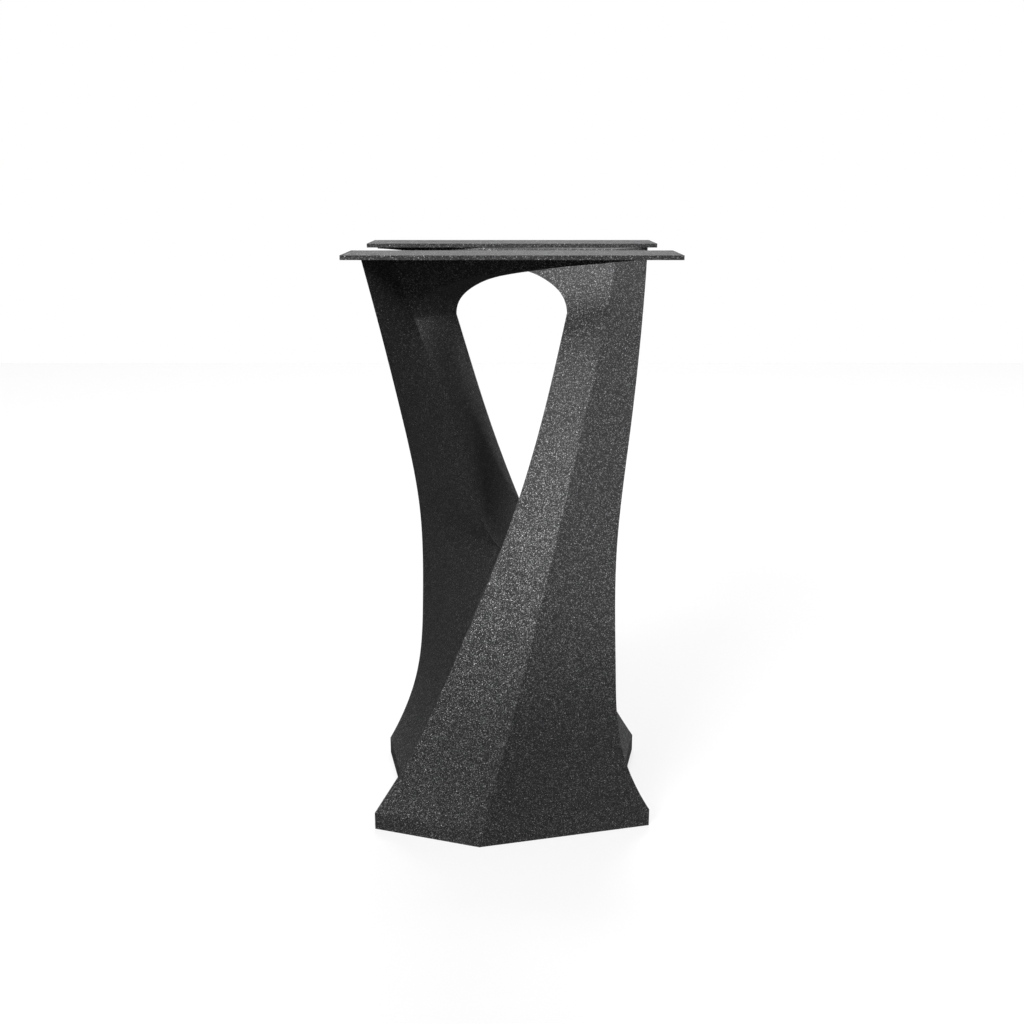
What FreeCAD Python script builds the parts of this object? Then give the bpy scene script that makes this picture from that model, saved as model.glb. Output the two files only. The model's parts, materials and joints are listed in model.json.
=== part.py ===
import FreeCAD, Part
import math
import os
from FreeCAD import Vector

# Twisted steel pedestal base for a table, in millimetres.
# Z is up, the floor is z = 0, the twist axis is x = y = 0.
# The body looks the same after a half turn about Z, so one leg is
# described and the other is its half-turned copy.

os.makedirs("parts", exist_ok=True)

# Overall sizes
BASE_HEIGHT = 711.0        # floor to the top of the mounting plates
PLATE_THICKNESS = 5.0
PLATE_LENGTH = 366.0       # along X
PLATE_WIDTH = 97.0         # along Y
PLATE_INNER_Y = 79.0       # nearest edge of a plate to the axis
BODY_TOP = BASE_HEIGHT - PLATE_THICKNESS
WALL = 4.0                 # folded sheet of the body

# Holes that take the wood screws of a table top, one near each end of a plate
SCREW_HOLE_DIAMETER = 7.0
SCREW_TO_PLATE_END = 33.0
SCREW_TO_INNER_EDGE = 71.0
SCREW_X = PLATE_LENGTH / 2 - SCREW_TO_PLATE_END
SCREW_Y = PLATE_INNER_Y + SCREW_TO_INNER_EDGE

# Heights where the form changes
FOOT_HEIGHT = 22.0         # upright ends of the foot
FORK_HEIGHT = 365.0        # the two legs part above this
HEAD_HEIGHT = 74.0         # the arch under a plate springs this far below the top
SPRING_HEIGHT = BODY_TOP - HEAD_HEIGHT

# Web that carries the outer part of a plate
WEB_SETBACK = 11.0         # from the end of the plate to the end of the web
WEB_END = PLATE_LENGTH / 2 - WEB_SETBACK
WEB_END_THICKNESS = 7.0
WEB_END_DEPTH = 2.5        # height left of the web at its end
WEB_TO_INNER_EDGE = 27.0   # from the inner edge of the plate to the near face of the web
WEB_NEAR_Y = PLATE_INNER_Y + WEB_TO_INNER_EDGE

# Stations up the edges. They share out the trunk, the leg and the head, so the edges
# keep their run when a height changes.
TRUNK_SHARES = (0.111, 0.257, 0.577)
VALLEY_SHARES = (0.111, 0.257, 0.417, 0.577, 0.723, 0.869)
LEG_SHARES = (0.506,)
BACK_LEG_SHARES = (0.086, 0.243, 0.506, 0.768)
BACK_HEAD_SHARES = (0.784,)

# Edges of the front leg as x, y at each station. It starts as a wide
# folded foot at the front, narrows, leans back and ends under the back plate.
LEFT_EDGE = ((-172, -113), (-148, -115), (-121, -119), (-73, -124),
             (-13, -107), (32.5, -63), (67, 6), (86, 54))
FRONT_CREASE = ((-35.5, -158.5), (-27, -159), (-14, -160.5), (12.5, -161),
                (47.5, -135), (81.5, -85), (114.5, -8.5), (130, 44))
RIGHT_EDGE = ((173, -104), (153.5, -110.5), (136, -118), (124.7, -126),
              (125, -101.5), (142.5, -52), (162, 27), (172, 88))
# The valley folded into each side of the trunk, from the floor up to the fork, where it
# runs out into the edge of the other leg.
VALLEY = ((149.2, 4.3), (127, 5.5), (103, 11), (82, 26), (64, 45), (47, 66), (30, 88))
VALLEY_GAP = 1.0           # left between the valley and that edge at the fork
# The crease at the back of the leg only exists above the fork.
BACK_CREASE = ((13, 107), (31, 98), (46, 86), (67, 70), (92, 61), (114, 62), (133, 92), (138, 103))
FLOOR_CREASE = (-40.0, -158.0)

# Arch under the web, on its near face and on its far face: x, and the share of its rise
ARCH_NEAR = ((67, 0), (65.4, 0.147), (61, 0.28), (53, 0.406), (41, 0.524),
             (20, 0.65), (-20, 0.762), (-80, 0.881), (-133, 0.965), (-WEB_END, 1))
ARCH_FAR = ((114, 0), (110.8, 0.161), (103, 0.322), (91, 0.462), (73, 0.573),
            (43, 0.699), (-6, 0.804), (-75, 0.902), (-130, 0.965), (-WEB_END, 1))
ARCH_RISE = HEAD_HEIGHT - WEB_END_DEPTH
ARCH_TAPER_FROM = 7        # from this station on the arch runs square to the web


def shared_out(low, high, shares):
    """Heights at these shares of the way up."""
    return [low + (high - low) * share for share in shares]


LEVELS = [FOOT_HEIGHT, *shared_out(FOOT_HEIGHT, FORK_HEIGHT, TRUNK_SHARES), FORK_HEIGHT,
          *shared_out(FORK_HEIGHT, SPRING_HEIGHT, LEG_SHARES), SPRING_HEIGHT, BODY_TOP]
VALLEY_LEVELS = [FOOT_HEIGHT, *shared_out(FOOT_HEIGHT, FORK_HEIGHT, VALLEY_SHARES), FORK_HEIGHT]
BACK_LEVELS = [FORK_HEIGHT, *shared_out(FORK_HEIGHT, SPRING_HEIGHT, BACK_LEG_SHARES), SPRING_HEIGHT,
               *shared_out(SPRING_HEIGHT, BODY_TOP, BACK_HEAD_SHARES), BODY_TOP]


def half_turn(shape):
    """Copy of a shape turned by half a turn about Z."""
    turned = shape.copy()
    turned.rotate(Vector(0, 0, 0), Vector(0, 0, 1), 180)
    return turned


def turned_points(points):
    """The same stations on the other leg."""
    return [Vector(-p.x, -p.y, p.z) for p in points]


def stations(pairs, heights):
    """Points in space from x, y pairs and their heights."""
    return [Vector(x, y, z) for (x, y), z in zip(pairs, heights)]


def smooth_curve(points):
    """Curve through the points whose parameter is the height."""
    curve = Part.BSplineCurve()
    curve.interpolate(Points=points, Parameters=[p.z for p in points])
    return curve


def upright_curve(base, top):
    """Straight curve from a floor point to the point above it."""
    curve = Part.BSplineCurve()
    curve.interpolate(Points=[base, top], Parameters=[base.z, top.z])
    return curve


def skin(curves, low, high):
    """Closed solid whose level sections join the curves by straight lines."""
    edges = [curve.toShape(low, high) for curve in curves]
    faces = []
    for first, second in zip(edges, edges[1:] + edges[:1]):
        faces.append(Part.makeRuledSurface(first, second))
    for height in (low, high):
        corners = [curve.value(height) for curve in curves]
        faces.append(Part.Face(Part.makePolygon(corners + corners[:1])))
    solid = Part.Solid(Part.Shell(faces))
    if solid.Volume < 0:
        solid.reverse()
    return solid


def on_line(first, second, x):
    """Point at x on the level line through two points."""
    part = (x - first.x) / (second.x - first.x)
    return Vector(x, first.y + (second.y - first.y) * part, first.z)


def inset(corners, depth, open_sides=()):
    """Corners of a level section moved inwards by the depth."""
    count = len(corners)
    lines = []
    for i, corner in enumerate(corners):
        along = corners[(i + 1) % count] - corner
        along.normalize()
        inward = Vector(-along.y, along.x, 0)
        shift = 0.0 if i in open_sides else depth
        lines.append((corner + inward * shift, along))
    moved = []
    for i in range(count):
        (a, u), (b, v) = lines[i - 1], lines[i]
        reach = ((b.x - a.x) * v.y - (b.y - a.y) * v.x) / (u.x * v.y - u.y * v.x)
        moved.append(a + u * reach)
    return moved


left = smooth_curve(stations(LEFT_EDGE, LEVELS))
crease = smooth_curve(stations(FRONT_CREASE, LEVELS))
right = smooth_curve(stations(RIGHT_EDGE, LEVELS))
back = smooth_curve(stations(BACK_CREASE, BACK_LEVELS))
fork_right, fork_edge = right.value(FORK_HEIGHT), turned_points([left.value(FORK_HEIGHT)])[0]
fork_side = fork_right - fork_edge
valley_end = fork_edge + fork_side * (VALLEY_GAP / fork_side.Length)
valley = smooth_curve(stations(VALLEY, VALLEY_LEVELS) + [valley_end])


def leg_section(height):
    """Four corners of the leg above the fork."""
    return [curve.value(height) for curve in (left, crease, right, back)]


def trunk_section(height):
    """Eight corners of the joined legs below the fork."""
    front = [curve.value(height) for curve in (left, crease, right, valley)]
    return front + turned_points(front)


def curves_through(sections):
    """One curve up each corner of a pile of level sections."""
    return [smooth_curve(list(column)) for column in zip(*sections)]


# Foot: the folded front and back, upright at their ends
foot_top = trunk_section(FOOT_HEIGHT)
foot_front = [Vector(p.x, p.y, 0) for p in foot_top[:4]]
foot_front[1] = Vector(*FLOOR_CREASE, 0)
foot_floor = foot_front + turned_points(foot_front)
foot = skin([upright_curve(a, b) for a, b in zip(foot_floor, foot_top)], 0, FOOT_HEIGHT)

# Trunk: both legs in one, up to the fork
TRUNK_LEVELS = sorted(set(LEVELS[:5]) | set(VALLEY_LEVELS))
trunk_curves = curves_through([trunk_section(z) for z in TRUNK_LEVELS])
trunk = skin(trunk_curves, FOOT_HEIGHT, FORK_HEIGHT)

# Leg: from the fork to where the arch springs
leg = skin([left, crease, right, back], FORK_HEIGHT, SPRING_HEIGHT)

# Head of the leg: as wide as the foot again, then cut away below the arch
spring = leg_section(SPRING_HEIGHT)
web_near_low = on_line(spring[1], spring[0], -WEB_END)
web_near_top = Vector(-WEB_END, WEB_NEAR_Y, BODY_TOP)
web_near = upright_curve(web_near_low, web_near_top)
web_far = upright_curve(web_near_low + Vector(0, WEB_END_THICKNESS, 0),
                        web_near_top + Vector(0, WEB_END_THICKNESS, 0))
head = skin([web_near, crease, right, back, web_far], SPRING_HEIGHT, BODY_TOP)

NEAR_REACH, FAR_REACH = 140.0, 220.0
before, beyond = [], []
for i, ((xn, near_share), (xf, far_share)) in enumerate(zip(ARCH_NEAR, ARCH_FAR)):
    zn, zf = SPRING_HEIGHT + ARCH_RISE * near_share, SPRING_HEIGHT + ARCH_RISE * far_share
    near = on_line(web_near.value(zn), crease.value(zn), xn)
    far = on_line(web_far.value(zf), back.value(zf), xf)
    if i >= ARCH_TAPER_FROM:
        run = Vector(0, 1, (zf - zn) / 20)
    else:
        run = (far - near) * (1 / (far.y - near.y))
    before.append(near - run * NEAR_REACH)
    beyond.append(near + run * FAR_REACH)


def arch_curve(points):
    """Curve along one side of the arch."""
    curve = Part.BSplineCurve()
    curve.interpolate(Points=points, Parameters=list(range(len(points))))
    return curve.toShape()


soffit = Part.makeRuledSurface(arch_curve(before), arch_curve(beyond))
head = head.cut(soffit.extrude(Vector(-2 * PLATE_LENGTH, 0, 0)))

# Hollow inside the sheet: the trunk's space runs on up both legs and is closed below
# by the floor plate
TRUNK_VOID_DROP = 35.0     # the trunk's space ends this far below the fork
LEG_VOID_DROP = 65.0       # and each leg's space starts this far below it


def faceted_skin(sections):
    """Closed solid through level sections, each strip of skin split into flat triangles."""
    faces = []
    for low, high in zip(sections, sections[1:]):
        for i, corner in enumerate(low):
            j = (i + 1) % len(low)
            faces.append(Part.Face(Part.makePolygon([corner, low[j], high[j], corner])))
            faces.append(Part.Face(Part.makePolygon([corner, high[j], high[i], corner])))
    for end in (sections[0], sections[-1]):
        faces.append(Part.Face(Part.makePolygon(end + end[:1])))
    solid = Part.Solid(Part.Shell(faces))
    if solid.Volume < 0:
        solid.reverse()
    return solid


def trunk_void_section(height):
    """Space inside the trunk at one height."""
    return inset(trunk_section(height), WALL)


def leg_void_section(height):
    """Space inside one leg. Its back corner is the valley below the fork."""
    front = [curve.value(height) for curve in (left, crease, right)]
    front.append(valley.value(height) if height < FORK_HEIGHT else back.value(height))
    return inset(front, WALL)


foot_inside = inset([p + Vector(0, 0, WALL) for p in foot_floor], WALL)
VOID_STEP = 16.0           # short enough that the flat facets stay inside the wall


def even_heights(low, high):
    """Heights from low to high in equal steps of about VOID_STEP."""
    steps = math.ceil((high - low) / VOID_STEP)
    return [low + (high - low) * i / steps for i in range(steps + 1)]


trunk_heights = even_heights(FOOT_HEIGHT, FORK_HEIGHT - TRUNK_VOID_DROP)
leg_heights = even_heights(FORK_HEIGHT - LEG_VOID_DROP, FORK_HEIGHT)
leg_heights += even_heights(FORK_HEIGHT, BODY_TOP - WALL)[1:]
trunk_void = faceted_skin([foot_inside] + [trunk_void_section(z) for z in trunk_heights])
leg_void = faceted_skin([leg_void_section(z) for z in leg_heights])


solid_legs = foot.fuse([trunk, leg, half_turn(leg), head, half_turn(head)])
voids = trunk_void.fuse([leg_void, half_turn(leg_void)])
body = solid_legs.cut(voids).removeSplitter()
if body.ShapeType == "Compound" and len(body.Solids) == 1:
    body = body.Solids[0]


def mounting_plate(side):
    """Flat bar across the top of one leg, with a screw hole near each end."""
    low_y = PLATE_INNER_Y if side > 0 else -PLATE_INNER_Y - PLATE_WIDTH
    bar = Part.makeBox(PLATE_LENGTH, PLATE_WIDTH, PLATE_THICKNESS,
                       Vector(-PLATE_LENGTH / 2, low_y, BODY_TOP))
    for x in (-SCREW_X, SCREW_X):
        hole = Part.makeCylinder(SCREW_HOLE_DIAMETER / 2, 3 * PLATE_THICKNESS,
                                 Vector(x, side * SCREW_Y, BODY_TOP - PLATE_THICKNESS))
        bar = bar.cut(hole).Solids[0]
    return bar


parts = {
    "pedestal_body": body,
    "front_mounting_plate": mounting_plate(-1),
    "back_mounting_plate": mounting_plate(1),
}
for node, shape in parts.items():
    print(node, shape.ShapeType, len(shape.Solids), shape.isValid(), round(shape.Volume), shape.BoundBox)
    shape.exportStep("parts/%s.step" % node)
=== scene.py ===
"""Twisted steel pedestal table base: finishes, body skin, mounting bars and studio."""
import json
import logging
from dataclasses import dataclass, field
from enum import Enum

import bmesh
import bpy
import numpy as np
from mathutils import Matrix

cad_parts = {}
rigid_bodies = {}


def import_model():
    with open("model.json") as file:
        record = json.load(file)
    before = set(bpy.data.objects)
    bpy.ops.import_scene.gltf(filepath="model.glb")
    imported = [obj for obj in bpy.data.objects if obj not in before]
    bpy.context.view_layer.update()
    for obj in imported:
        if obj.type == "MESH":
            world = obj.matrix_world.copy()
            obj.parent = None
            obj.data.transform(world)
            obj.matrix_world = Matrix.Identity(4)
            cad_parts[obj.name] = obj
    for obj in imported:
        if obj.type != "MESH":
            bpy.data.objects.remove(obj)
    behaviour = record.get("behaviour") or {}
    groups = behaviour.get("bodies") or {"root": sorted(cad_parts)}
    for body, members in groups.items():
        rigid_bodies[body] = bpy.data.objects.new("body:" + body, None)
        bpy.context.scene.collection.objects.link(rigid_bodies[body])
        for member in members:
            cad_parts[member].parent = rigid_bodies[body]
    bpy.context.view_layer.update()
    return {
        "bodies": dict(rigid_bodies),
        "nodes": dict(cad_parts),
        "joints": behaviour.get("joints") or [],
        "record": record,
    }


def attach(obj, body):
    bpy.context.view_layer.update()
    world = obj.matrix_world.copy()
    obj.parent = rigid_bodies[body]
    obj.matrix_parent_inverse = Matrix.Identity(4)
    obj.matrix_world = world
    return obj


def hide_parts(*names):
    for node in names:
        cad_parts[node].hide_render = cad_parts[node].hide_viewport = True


LOG = logging.getLogger("pedestal")
MM = 0.001         # metres in a millimetre
LITRES = 1000.0    # litres in a cubic metre
WHITE = (1.0, 1.0, 1.0, 1.0)


class Leg(Enum):
    """One of the two legs; its value is the sign that x and y take there."""

    FRONT_FOOT = 1
    BACK_FOOT = -1


def linear(hex_colour: str) -> tuple:
    """Turns an sRGB hex colour into linear RGBA.

    Formula: the sRGB curve, a straight line near black and a power of 2.4 above it.

    Args:
        hex_colour: six hex digits with a leading hash.

    Returns:
        Four numbers, the last of them 1.
    """
    srgb = np.array([int(hex_colour[i:i + 2], 16) for i in (1, 3, 5)]) / 255
    low, high = srgb / 12.92, ((srgb + 0.055) / 1.055) ** 2.4
    return (*np.where(srgb <= 0.04045, low, high).tolist(), 1.0)


def add_node(tree: bpy.types.NodeTree, kind: str, settings: dict | None = None,
             inputs: dict | None = None) -> bpy.types.Node:
    """Adds one shader node.

    Args:
        tree: the node tree that gets it.
        kind: Blender's name of the node type.
        settings: attributes set on the node.
        inputs: socket name or number to a value, or to an output socket to link in.

    Returns:
        The new node.
    """
    node = tree.nodes.new(kind)
    for name, value in (settings or {}).items():
        setattr(node, name, value)
    for name, value in (inputs or {}).items():
        if isinstance(value, bpy.types.NodeSocket):
            tree.links.new(value, node.inputs[name])
        else:
            node.inputs[name].default_value = value
    return node


@dataclass(frozen=True)
class PowderCoat:
    """Black textured powder coat with silver flakes, sprayed and baked on steel.

    The resin is a near-black satin plastic, so it starts from an IOR of 1.5. Its baked
    grains tip the surface this way and that and shine unevenly, and silver flakes lie
    among them, so it sparkles under a lamp and looks even away from it.
    """

    name: str
    resin: str = "#1a1a1c"
    ior: float = 1.5
    roughness: float = 0.62
    gloss: float = 0.6          # specular level between the sparkles
    sparkle: float = 4.0        # what the brightest grain adds to it
    sparkle_power: float = 7.0  # the higher, the fewer grains are bright
    grain_mm: float = 0.8       # real grain is about 0.4 mm; coarser so that it shows
    grain_tilt: float = 0.25    # how far a grain tips the surface, as a slope
    flake_mm: float = 1.1       # real flakes are finer; coarser so that they show
    flake_gap_mm: float = 3.2   # from one flake to the next
    flake_shine: float = 7.0    # what the brightest flake adds to the specular level

    def build(self) -> bpy.types.Material:
        """Makes the material.

        Returns:
            The new Blender material.
        """
        material = bpy.data.materials.new(self.name)
        material.use_nodes = True
        tree = material.node_tree
        tree.nodes.clear()
        place = add_node(tree, "ShaderNodeTexCoord").outputs["Object"]
        grains, flakes = (add_node(tree, "ShaderNodeTexVoronoi", {"feature": "F1"},
                                   {"Vector": place, "Scale": 1 / (size * MM),
                                    "Randomness": 1.0})
                          for size in (self.grain_mm, self.flake_gap_mm))
        # Every grain has its own random colour, and that makes a few of them bright
        chance = add_node(tree, "ShaderNodeSeparateColor",
                          inputs={"Color": grains.outputs["Color"]})
        rare = add_node(tree, "ShaderNodeMath", {"operation": "POWER"},
                        {0: chance.outputs["Red"], 1: self.sparkle_power})
        grit = add_node(tree, "ShaderNodeMath", {"operation": "MULTIPLY_ADD"},
                        {0: rare.outputs[0], 1: self.sparkle, 2: self.gloss})
        # A flake is the small round middle of a wider cell, and its colour is its luck
        reach = self.flake_mm / self.flake_gap_mm / 2
        dot = add_node(tree, "ShaderNodeMath", {"operation": "LESS_THAN"},
                       {0: flakes.outputs["Distance"], 1: reach})
        luck = add_node(tree, "ShaderNodeSeparateColor",
                        inputs={"Color": flakes.outputs["Color"]})
        shine = add_node(tree, "ShaderNodeMath", {"operation": "MULTIPLY"},
                         {0: dot.outputs[0], 1: luck.outputs["Red"]})
        level = add_node(tree, "ShaderNodeMath", {"operation": "MULTIPLY_ADD"},
                         {0: shine.outputs[0], 1: self.flake_shine, 2: grit.outputs[0]})
        # Less a half, the same random colour says which way a grain is tipped
        way = add_node(tree, "ShaderNodeVectorMath", {"operation": "SUBTRACT"},
                       {0: grains.outputs["Color"], 1: (0.5, 0.5, 0.5)})
        face = add_node(tree, "ShaderNodeNewGeometry")
        tipped = add_node(tree, "ShaderNodeVectorMath", {"operation": "MULTIPLY_ADD"},
                          {0: way.outputs[0], 1: (self.grain_tilt * 2,) * 3,
                           2: face.outputs["Normal"]})
        normal = add_node(tree, "ShaderNodeVectorMath", {"operation": "NORMALIZE"},
                          {0: tipped.outputs[0]})
        shader = add_node(tree, "ShaderNodeBsdfPrincipled",
                          inputs={"Base Color": linear(self.resin),
                                  "Roughness": self.roughness,
                                  "Normal": normal.outputs[0], "IOR": self.ior,
                                  "Specular IOR Level": level.outputs[0]})
        add_node(tree, "ShaderNodeOutputMaterial",
                 inputs={"Surface": shader.outputs[0]})
        return material


def smooth_track(heights: np.ndarray, knots: np.ndarray,
                 values: np.ndarray) -> np.ndarray:
    """Cubic spline through stations up a leg.

    Formula: between knots a Hermite cubic, with slopes that keep the second derivative
    continuous; the two end slopes are those of the cubic through the four nearest
    stations.

    Args:
        heights: where to read the spline.
        knots: heights of the stations.
        values: one row per station.

    Returns:
        One row per height.
    """
    count, step = len(knots), np.diff(knots)[:, None]
    chord = np.diff(values, axis=0) / step
    system = np.zeros((count, count))
    right = np.zeros_like(values)
    inner = np.arange(1, count - 1)
    system[inner, inner - 1] = step[1:, 0]
    system[inner, inner] = 2 * (step[:-1, 0] + step[1:, 0])
    system[inner, inner + 1] = step[:-1, 0]
    right[1:-1] = 3 * (chord[:-1] * step[1:] + chord[1:] * step[:-1])
    system[0, 0] = system[-1, -1] = 1
    for end, picks in ((0, slice(0, 4)), (count - 1, slice(count - 4, count))):
        powers = np.vander(knots[picks] - knots[end], increasing=True)
        right[end] = np.linalg.solve(powers, values[picks])[1]
    slope = np.linalg.solve(system, right)
    cell = np.clip(np.searchsorted(knots, heights) - 1, 0, count - 2)
    h = step[cell]
    t = ((heights - knots[cell])[:, None]) / h
    return ((1 + 2 * t) * (1 - t) ** 2 * values[cell]
            + t ** 2 * (3 - 2 * t) * values[cell + 1]
            + t * (1 - t) ** 2 * h * slope[cell]
            - t ** 2 * (1 - t) * h * slope[cell + 1])


def on_leg(points: np.ndarray, leg: Leg) -> np.ndarray:
    """Carries points of the front leg to either leg: x and y take the leg's sign."""
    return points * np.array([leg.value, leg.value, 1.0])


def between(first: np.ndarray, second: np.ndarray, shares: np.ndarray) -> np.ndarray:
    """Straight rulings between two rails.

    Formula: point = first + share * (second - first), for each row and each share.

    Args:
        first: rows of x, y, z on one rail.
        second: rows of x, y, z on the other.
        shares: shares along a ruling, the same for every row.

    Returns:
        A grid of rows by shares by 3.
    """
    return first[:, None] + shares[:, None] * (second - first)[:, None]


@dataclass
class Patchwork:
    """Collects grids and loops of points, in millimetres, and welds them to a mesh."""

    join_mm: float = 0.02       # points nearer than this become one
    sliver_mm: float = 0.005    # edges shorter than this are taken out
    points: list[np.ndarray] = field(default_factory=list)
    faces: list[list[int]] = field(default_factory=list)
    count: int = 0

    def grid(self, points: np.ndarray) -> None:
        """Adds a grid of quads whose normal is row direction crossed with column's.

        Args:
            points: rows by columns by 3.
        """
        rows, columns = points.shape[:2]
        index = self.count + np.arange(rows * columns).reshape(rows, columns)
        quads = np.stack([index[:-1, :-1], index[1:, :-1], index[1:, 1:],
                          index[:-1, 1:]], axis=-1)
        self.faces += quads.reshape(-1, 4).tolist()
        self.points.append(points.reshape(-1, 3))
        self.count += rows * columns

    def loop(self, points: np.ndarray) -> None:
        """Adds one flat face round a closed loop.

        Args:
            points: rows of x, y, z.
        """
        self.faces.append(list(range(self.count, self.count + len(points))))
        self.points.append(points)
        self.count += len(points)

    def weld(self, name: str) -> bpy.types.Object:
        """Joins everything where it touches.

        Args:
            name: the object's name.

        Returns:
            The object, at the origin, in metres.
        """
        mesh = bpy.data.meshes.new(name)
        mesh.from_pydata((np.concatenate(self.points) * MM).tolist(), [], self.faces)
        work = bmesh.new()
        work.from_mesh(mesh)
        bmesh.ops.remove_doubles(work, verts=work.verts, dist=self.join_mm * MM)
        bmesh.ops.dissolve_degenerate(work, edges=work.edges, dist=self.sliver_mm * MM)
        bmesh.ops.recalc_face_normals(work, faces=work.faces)
        open_edges = sum(1 for edge in work.edges if not edge.is_manifold)
        volume = work.calc_volume(signed=True)
        if volume < 0:
            bmesh.ops.reverse_faces(work, faces=work.faces)
        work.to_mesh(mesh)
        work.free()
        LOG.info("%s: %d faces, %d open edges, %.2f litres", name, len(mesh.polygons),
                 open_edges, abs(volume) * LITRES)
        piece = bpy.data.objects.new(name, mesh)
        bpy.context.scene.collection.objects.link(piece)
        return piece


@dataclass
class LegEdges:
    """The four edges of the leg that stands on the front foot, as x, y at stations.

    All sizes are in millimetres. The other leg is the same after a half turn about the
    axis. The trunk runs from the foot's top to the fork, the leg from the fork to the
    spring of the arch, and the head from there to the top.
    """

    foot_height: float = 22.0
    fork_height: float = 365.0
    spring_height: float = 632.0
    body_top: float = 706.0
    # Heights of the stations, as shares of the trunk, the leg or the head
    trunk_shares: tuple = (0.111, 0.257, 0.577)
    valley_shares: tuple = (0.111, 0.257, 0.417, 0.577, 0.723, 0.869)
    leg_shares: tuple = (0.506,)
    back_leg_shares: tuple = (0.086, 0.243, 0.506, 0.768)
    back_head_shares: tuple = (0.784,)
    left_stations: tuple = ((-172, -113), (-148, -115), (-121, -119), (-73, -124),
                            (-13, -107), (32.5, -63), (67, 6), (86, 54))
    crease_stations: tuple = ((-35.5, -158.5), (-27, -159), (-14, -160.5), (12.5, -161),
                              (47.5, -135), (81.5, -85), (114.5, -8.5), (130, 44))
    right_stations: tuple = ((173, -104), (153.5, -110.5), (136, -118), (124.7, -126),
                             (125, -101.5), (142.5, -52), (162, 27), (172, 88))
    back_stations: tuple = ((13, 107), (31, 98), (46, 86), (67, 70), (92, 61),
                            (114, 62), (133, 92), (138, 103))
    valley_stations: tuple = ((149.2, 4.3), (127, 5.5), (103, 11), (82, 26), (64, 45),
                              (47, 66), (30, 88))
    floor_crease: tuple = (-40.0, -158.0)

    def levels(self, trunk: tuple, leg: tuple, head: tuple = ()) -> np.ndarray:
        """Heights of the stations of one edge.

        Formula: each share is taken of the trunk, of the leg or of the head, whose ends
        are stations too.

        Args:
            trunk: shares of the way up the trunk.
            leg: shares of the way up the leg.
            head: shares of the way up the head.

        Returns:
            Rising heights.
        """
        marks = (self.foot_height, self.fork_height, self.spring_height, self.body_top)
        runs = [low + (high - low) * np.array([0.0, *shares]) for low, high, shares
                in zip(marks, marks[1:], (trunk, leg, head))]
        return np.concatenate([*runs, [self.body_top]])

    def track(self, stations: tuple, levels: np.ndarray,
              heights: np.ndarray) -> np.ndarray:
        """Follows one edge up the body.

        Formula: the spline through the stations; below the foot's top it goes straight
        down.

        Args:
            stations: x, y pairs.
            levels: their heights.
            heights: heights to read.

        Returns:
            Rows of x, y, z.
        """
        plan = smooth_track(np.maximum(heights, self.foot_height), levels,
                            np.array(stations, float))
        return np.column_stack([plan, heights])

    def full_track(self, stations: tuple, heights: np.ndarray) -> np.ndarray:
        """Rows of x, y, z up an edge that runs from the floor to the top."""
        levels = self.levels(self.trunk_shares, self.leg_shares)
        return self.track(stations, levels, heights)

    def left(self, heights: np.ndarray) -> np.ndarray:
        """The edge on the left of the front face."""
        return self.full_track(self.left_stations, heights)

    def right(self, heights: np.ndarray) -> np.ndarray:
        """The edge on the right of the front face."""
        return self.full_track(self.right_stations, heights)

    def crease(self, heights: np.ndarray) -> np.ndarray:
        """The fold down the front face.

        Formula: the spline above the foot, and below it a straight line to the floor
        point.

        Args:
            heights: heights to read.

        Returns:
            Rows of x, y, z.
        """
        line = self.full_track(self.crease_stations, heights)
        drop = np.clip(1 - heights / self.foot_height, 0, 1)[:, None]
        line[:, :2] += drop * (np.array(self.floor_crease)
                               - np.array(self.crease_stations[0]))
        return line

    def back(self, heights: np.ndarray) -> np.ndarray:
        """The fold down the back face, above the fork only."""
        levels = self.levels((), self.back_leg_shares, self.back_head_shares)[1:]
        return self.track(self.back_stations, levels, heights)

    def valley(self, heights: np.ndarray) -> np.ndarray:
        """The fold into the side of the trunk.

        Formula: the spline through its stations, whose last one, at the fork, is where
        the other leg's left edge is.

        Args:
            heights: heights to read, from the floor to the fork.

        Returns:
            Rows of x, y, z.
        """
        end = on_leg(self.left(np.array([self.fork_height])), Leg.BACK_FOOT)[0, :2]
        levels = self.levels(self.valley_shares, ())[:len(self.valley_stations) + 1]
        return self.track((*self.valley_stations, tuple(end)), levels, heights)


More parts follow.
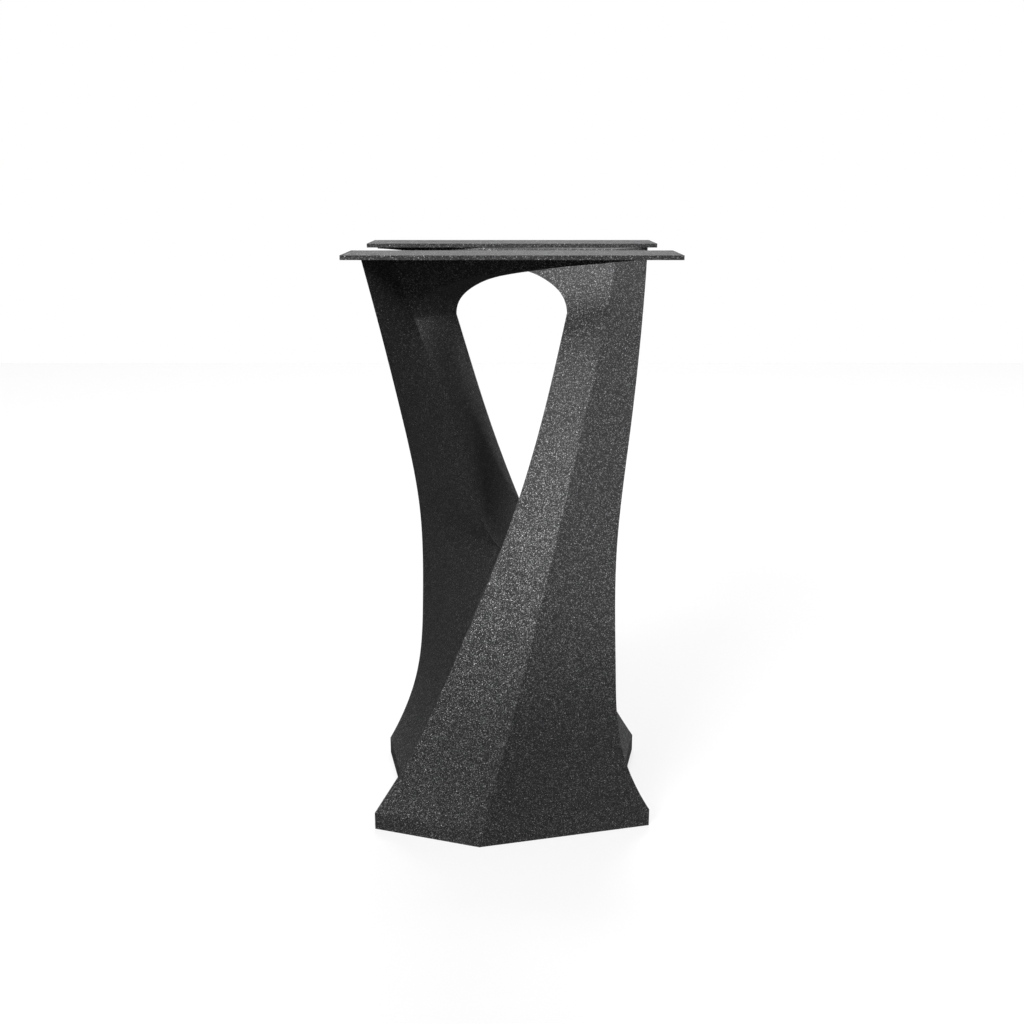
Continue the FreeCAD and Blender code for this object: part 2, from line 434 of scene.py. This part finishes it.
@dataclass
class PedestalBody:
    """The hollow body: folded feet, twisted trunk, fork, two legs and their webs.

    Sizes are in millimetres.
    """

    edges: LegEdges = field(default_factory=LegEdges)
    web_end: float = 172.0          # from the axis to the upright end of a web
    web_end_near_y: float = 106.0   # the near face of that end, at the top
    web_end_thickness: float = 7.0
    web_end_depth: float = 2.5      # height of that end below the bar
    # The two lower edges of the web: x, and the share of the arch's rise
    arch_near: tuple = ((67, 0), (65.4, 0.147), (61, 0.28), (53, 0.406), (41, 0.524),
                        (20, 0.65), (-20, 0.762), (-80, 0.881), (-133, 0.965),
                        (-172, 1))
    arch_far: tuple = ((114, 0), (110.8, 0.161), (103, 0.322), (91, 0.462), (73, 0.573),
                       (43, 0.699), (-6, 0.804), (-80, 0.897), (-133, 0.965),
                       (-172, 1))
    columns: int = 13               # across the narrowest sheets
    foot_rows: int = 5
    trunk_rows: int = 90
    leg_rows: int = 76
    leg_crowding: float = 1.15      # brings a leg's rows together towards the fork
    arch_rows: int = 82
    fork_ease: float = 30.0         # how far from the fork its bend is rounded
    edge_radius: float = 1.2
    edge_segments: int = 3
    edge_angle: float = 20.0        # in degrees; a sharper fold than this is softened
    patches: Patchwork = field(default_factory=Patchwork)

    def __post_init__(self) -> None:
        """Works out where the columns stand across each width of sheet, as shares."""
        self.narrow = np.linspace(0, 1, self.columns)
        self.middling = np.linspace(0, 1, 2 * self.columns - 1)
        self.wide = np.linspace(0, 1, 3 * self.columns)

    def eased(self, sheet: np.ndarray, heights: np.ndarray) -> np.ndarray:
        """Rounds a side sheet's bend at the fork, where its inner edge turns back.

        Formula: a bend J |u| / 2 across the fork's height becomes
        J (u * u / 2r + r / 2) / 2 within r of it, where J is the change of slope square
        to the sheet. It fades out at both edges of the sheet, which stay as they are.

        Args:
            sheet: grid of a middling sheet, from the right edge to its inner edge.
            heights: height of each row.

        Returns:
            The grid with its rows near the fork moved.
        """
        fork, reach = self.edges.fork_height, self.fork_ease
        # A millimetre below the fork, at it and a millimetre above it
        near = fork + np.array([-1.0, 0.0, 1.0])
        inner = np.concatenate([self.edges.valley(near[:2]),
                                self.edges.back(near[2:])])[:, :2]
        turn = inner[2] - 2 * inner[1] + inner[0]
        across = inner[1] - self.edges.right(near[1:2])[0, :2]
        across /= np.hypot(*across)
        turn -= (turn @ across) * across
        u = np.minimum(np.abs(heights - fork), reach)
        rounding = (u ** 2 / (2 * reach) + reach / 2 - u) / 2
        fade = self.middling * (1 - self.middling ** 4)
        moved = sheet.copy()
        moved[..., :2] += (rounding[:, None] * fade)[..., None] * turn
        return moved

    def make_trunk(self, leg: Leg) -> None:
        """Foot and trunk up to the fork: two front sheets, a folded side, the floor.

        Formula: rulings at each height between neighbouring edges.

        Args:
            leg: which leg's half of the trunk to make.
        """
        foot, fork = self.edges.foot_height, self.edges.fork_height
        heights = np.concatenate([np.linspace(0, foot, self.foot_rows, endpoint=False),
                                  np.linspace(foot, fork, self.trunk_rows)])
        left, fold = self.edges.left(heights), self.edges.crease(heights)
        right, valley = self.edges.right(heights), self.edges.valley(heights)
        sheets = [between(left, fold, self.wide), between(fold, right, self.narrow),
                  self.eased(between(right, valley, self.middling), heights),
                  between(valley, on_leg(left, Leg.BACK_FOOT), self.narrow)]
        for sheet in sheets:
            self.patches.grid(on_leg(sheet, leg))
        outline = np.concatenate([sheets[0][0],
                                  *(sheet[0, 1:] for sheet in sheets[1:])])
        self.patches.loop(on_leg(outline, leg))

    def make_leg(self, leg: Leg) -> None:
        """The four-sided leg from the fork to the spring of its arch.

        Formula: rulings at each height between neighbouring edges.

        Args:
            leg: which leg to make.
        """
        fork, spring = self.edges.fork_height, self.edges.spring_height
        climb = np.linspace(0, 1, self.leg_rows) ** self.leg_crowding
        heights = fork + (spring - fork) * climb
        left, fold = self.edges.left(heights), self.edges.crease(heights)
        right, back = self.edges.right(heights), self.edges.back(heights)
        for sheet in (between(left, fold, self.wide), between(fold, right, self.narrow),
                      self.eased(between(right, back, self.middling), heights),
                      between(back, left, self.middling)):
            self.patches.grid(on_leg(sheet, leg))

    def web_line(self, heights: np.ndarray, far: bool) -> np.ndarray:
        """The upright end of the web at its near or far face.

        Formula: at the spring the near face is carried on in line from the front sheet,
        at the top it ends at its own point, and between them it runs straight.

        Args:
            heights: heights of the rows.
            far: True for the far face.

        Returns:
            Rows of x, y, z.
        """
        spring, top = self.edges.spring_height, self.edges.body_top
        at_spring = np.array([spring])
        left, fold = self.edges.left(at_spring)[0], self.edges.crease(at_spring)[0]
        share = (-self.web_end - fold[0]) / (left[0] - fold[0])
        low_y = fold[1] + share * (left[1] - fold[1])
        rise = (heights - spring) / (top - spring)
        y = (low_y + rise * (self.web_end_near_y - low_y)
             + (self.web_end_thickness if far else 0))
        return np.column_stack([np.full(len(heights), -self.web_end), y, heights])

    def arch_edge(self, stations: tuple, far: bool, steps: np.ndarray) -> np.ndarray:
        """One lower edge of the web, laid on its near or far face.

        Formula: x and height follow a spline through the stations, and the depth is
        read off the ruling of the face at that height.

        Args:
            stations: x, and the share of the arch's rise, in pairs.
            far: True for the far face.
            steps: where along the stations to read, counted in stations.

        Returns:
            Rows of x, y, z.
        """
        knots = np.arange(len(stations), dtype=float)
        x, climb = smooth_track(steps, knots, np.array(stations, float)).T
        spring, top = self.edges.spring_height, self.edges.body_top - self.web_end_depth
        height = np.minimum(spring + (top - spring) * climb, top)
        end = self.web_line(height, far)
        root = self.edges.back(height) if far else self.edges.crease(height)
        share = (x - end[:, 0]) / (root[:, 0] - end[:, 0])
        depth = end[:, 1] + share * (root[:, 1] - end[:, 1])
        return np.column_stack([x, depth, height])

    def make_head(self, leg: Leg) -> None:
        """The head of a leg: it spreads into a web that is cut away in an arch.

        Formula: rulings from the arch's edge, or above it from the web's end, to the
        folds of the leg; the underside is ruled between the two edges of the arch.

        Args:
            leg: which leg's head to make.
        """
        steps = np.linspace(0, len(self.arch_near) - 1, self.arch_rows)
        top = np.array([self.edges.body_top])
        near = self.arch_edge(self.arch_near, False, steps)
        far = self.arch_edge(self.arch_far, True, steps)
        near_rows = np.concatenate([near, self.web_line(top, False)])
        far_rows = np.concatenate([far, self.web_line(top, True)])
        low_z, high_z = near_rows[:, 2], far_rows[:, 2]
        fold, right = self.edges.crease(low_z), self.edges.right(low_z)
        back = self.edges.back(high_z)
        front_sheet = between(near_rows, fold, self.wide)
        right_sheet = between(fold, right, self.narrow)
        back_sheet = between(right, back, self.middling)
        web_back = between(back, far_rows, self.wide)
        underside = between(far, near, self.middling)
        web_tip = between(far_rows[-2:], near_rows[-2:], self.middling)
        for sheet in (front_sheet, right_sheet, back_sheet, web_back, underside,
                      web_tip):
            self.patches.grid(on_leg(sheet, leg))
        cap = np.concatenate([front_sheet[-1], right_sheet[-1, 1:], back_sheet[-1, 1:],
                              web_back[-1, 1:], web_tip[-1, 1:-1]])
        self.patches.loop(on_leg(cap, leg))

    def build(self, finish: bpy.types.Material) -> bpy.types.Object:
        """Makes the body and dresses it.

        Args:
            finish: its powder coat.

        Returns:
            The finished object, standing for the CAD body.
        """
        for leg in Leg:
            self.make_trunk(leg)
            self.make_leg(leg)
            self.make_head(leg)
        piece = self.patches.weld("pedestal_body_skin")
        piece.data.shade_smooth()
        soften = piece.modifiers.new("Softened edges", "BEVEL")
        soften.width = self.edge_radius * MM
        soften.segments = self.edge_segments
        soften.limit_method = "ANGLE"
        soften.angle_limit = np.radians(self.edge_angle)
        soften.harden_normals = True
        piece.data.materials.append(finish)
        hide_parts("pedestal_body")
        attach(piece, "root")
        return piece


@dataclass
class MountingPlates:
    """The two flat bars across the heads of the legs, as the CAD has them.

    Sizes are in millimetres and angles in degrees.
    """

    nodes: tuple = ("front_mounting_plate", "back_mounting_plate")
    join_mm: float = 0.01       # facets' corners nearer than this become one
    flat_angle: float = 2.0     # facets that meet flatter than this become one face
    edge_radius: float = 0.5
    edge_segments: int = 2
    edge_angle: float = 50.0    # a sharper edge than this is broken

    def build(self, frame: dict, finish: bpy.types.Material) -> list:
        """Dresses both bars and breaks their sharp edges.

        Args:
            finish: their powder coat.

        Returns:
            The two objects.
        """
        bars = [frame["nodes"][name] for name in self.nodes]
        for bar in bars:
            bar.data.materials.clear()
            bar.data.materials.append(finish)
            weld = bar.modifiers.new("Joined facets", "WELD")
            weld.merge_threshold = self.join_mm * MM
            # Long thin facets beside the holes would cross where the edges are broken
            whole = bar.modifiers.new("Whole faces", "DECIMATE")
            whole.decimate_type = "DISSOLVE"
            whole.angle_limit = np.radians(self.flat_angle)
            soften = bar.modifiers.new("Broken edges", "BEVEL")
            soften.width = self.edge_radius * MM
            soften.segments = self.edge_segments
            soften.limit_method = "ANGLE"
            soften.angle_limit = np.radians(self.edge_angle)
            level = bar.modifiers.new("Level shading", "WEIGHTED_NORMAL")
            level.keep_sharp = True
        return bars


@dataclass
class Studio:
    """Pale floor, soft lamps and the camera; sizes in metres, angles in degrees."""

    camera_distance: float = 1.5118
    camera_height: float = 0.7873
    camera_pitch: float = 15.0
    view_angle: float = 45.0
    sensor_width: float = 36.0      # in millimetres
    floor_size: float = 8.0
    paper: str = "#818181"          # the floor to the camera, which the glow adds to
    paper_glow: float = 0.72
    unseen_paper: str = "#272727"   # the floor to the base, dark, so it adds no light
    world_strength: float = 0.60    # straight overhead; it falls to 0 at the horizon
    # Each lamp: name, degrees round to the left of the camera, degrees up, watts
    lamps: tuple = (("key_left", 30.0, 33.0, 405.0), ("top_front", 0.0, 70.0, 90.0),
                    ("low_right", -48.0, 5.0, 118.0), ("rim_right", -106.0, 12.0, 95.0),
                    ("back", 180.0, 58.0, 280.0))
    lamp_size: float = 2.4
    lamp_distance: float = 7.0
    lamp_aim_height: float = 0.35   # the middle of the base

    def make_camera(self) -> None:
        """Sets the camera in front of the base, looking slightly down.

        Formula: lens = half the sensor's width over the tangent of half the view.
        """
        data = bpy.data.cameras.new("Camera")
        data.sensor_width = self.sensor_width
        data.lens = data.sensor_width / 2 / np.tan(np.radians(self.view_angle / 2))
        camera = bpy.data.objects.new("Camera", data)
        camera.location = (0, -self.camera_distance, self.camera_height)
        camera.rotation_euler = (np.radians(90 - self.camera_pitch), 0, 0)
        bpy.context.scene.collection.objects.link(camera)
        bpy.context.scene.camera = camera

    def make_world(self) -> None:
        """White to the camera; to the base a soft ceiling, bright above, dim low."""
        world = bpy.data.worlds.new("Studio")
        bpy.context.scene.world = world
        world.use_nodes = True
        tree = world.node_tree
        tree.nodes.clear()
        path = add_node(tree, "ShaderNodeLightPath")
        way = add_node(tree, "ShaderNodeTexCoord")
        up = add_node(tree, "ShaderNodeSeparateXYZ",
                      inputs={0: way.outputs["Generated"]})
        level = add_node(tree, "ShaderNodeMath",
                         {"operation": "MULTIPLY", "use_clamp": True},
                         {0: up.outputs["Z"], 1: self.world_strength})
        fill = add_node(tree, "ShaderNodeBackground",
                        inputs={"Color": WHITE, "Strength": level.outputs[0]})
        white = add_node(tree, "ShaderNodeBackground",
                         inputs={"Color": WHITE, "Strength": 1.0})
        mix = add_node(tree, "ShaderNodeMixShader",
                       inputs={0: path.outputs["Is Camera Ray"], 1: fill.outputs[0],
                               2: white.outputs[0]})
        add_node(tree, "ShaderNodeOutputWorld", inputs={"Surface": mix.outputs[0]})

    def make_floor(self) -> None:
        """A floor, white to the camera alone: it keeps the shadow, adds no light."""
        half = self.floor_size / 2
        mesh = bpy.data.meshes.new("floor")
        mesh.from_pydata([(-half, -half, 0), (half, -half, 0), (half, half, 0),
                          (-half, half, 0)], [], [(0, 1, 2, 3)])
        floor = bpy.data.objects.new("floor", mesh)
        bpy.context.scene.collection.objects.link(floor)
        material = bpy.data.materials.new("White paper")
        material.use_nodes = True
        tree = material.node_tree
        tree.nodes.clear()
        path = add_node(tree, "ShaderNodeLightPath")
        paper = add_node(tree, "ShaderNodeBsdfDiffuse",
                         inputs={"Color": linear(self.paper)})
        glow = add_node(tree, "ShaderNodeEmission",
                        inputs={"Color": WHITE, "Strength": self.paper_glow})
        both = add_node(tree, "ShaderNodeAddShader",
                        inputs={0: paper.outputs[0], 1: glow.outputs[0]})
        dark = add_node(tree, "ShaderNodeBsdfDiffuse",
                        inputs={"Color": linear(self.unseen_paper)})
        mix = add_node(tree, "ShaderNodeMixShader",
                       inputs={0: path.outputs["Is Camera Ray"], 1: dark.outputs[0],
                               2: both.outputs[0]})
        add_node(tree, "ShaderNodeOutputMaterial", inputs={"Surface": mix.outputs[0]})
        mesh.materials.append(material)

    def make_lamp(self, name: str, turn: float, rise: float, power: float) -> None:
        """Adds one square soft lamp that faces the middle of the base.

        Formula: its place is the lamp distance along the direction of the two angles,
        and it is turned so that its own -Z looks back along that direction.

        Args:
            name: the lamp's name.
            turn: degrees to the left of the camera.
            rise: degrees up.
            power: watts.
        """
        data = bpy.data.lights.new(name, "AREA")
        data.size, data.energy = self.lamp_size, power
        lamp = bpy.data.objects.new(name, data)
        aim = np.array([0, 0, self.lamp_aim_height])
        turn, rise = np.radians((turn, rise))
        place = aim + self.lamp_distance * np.array([-np.sin(turn) * np.cos(rise),
                                                     -np.cos(turn) * np.cos(rise),
                                                     np.sin(rise)])
        lamp.location = place
        way = aim - place
        level = np.hypot(way[0], way[1])
        lamp.rotation_euler = (np.arctan2(level, -way[2]), 0,
                               np.arctan2(-way[0], way[1]))
        bpy.context.scene.collection.objects.link(lamp)

    def build(self) -> None:
        """Sets up everything that isn't part of the base."""
        self.make_camera()
        self.make_world()
        self.make_floor()
        for lamp in self.lamps:
            self.make_lamp(*lamp)
        bpy.context.scene.view_settings.view_transform = "Standard"


def main() -> None:
    """Loads the frame, builds and reports each piece, and sets up the studio."""
    logging.basicConfig(level=logging.INFO, format="%(name)s: %(message)s")
    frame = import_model()
    body_coat = PowderCoat("Textured black powder coat, silver flake").build()
    plate_coat = PowderCoat("Textured black powder coat, plates").build()
    body = PedestalBody().build(body_coat)
    bars = MountingPlates().build(frame, plate_coat)
    for piece in (body, *bars):
        LOG.info("%s: %s", piece.name, piece.data.materials[0].name)
    Studio().build()


if __name__ == "__main__":
    main()
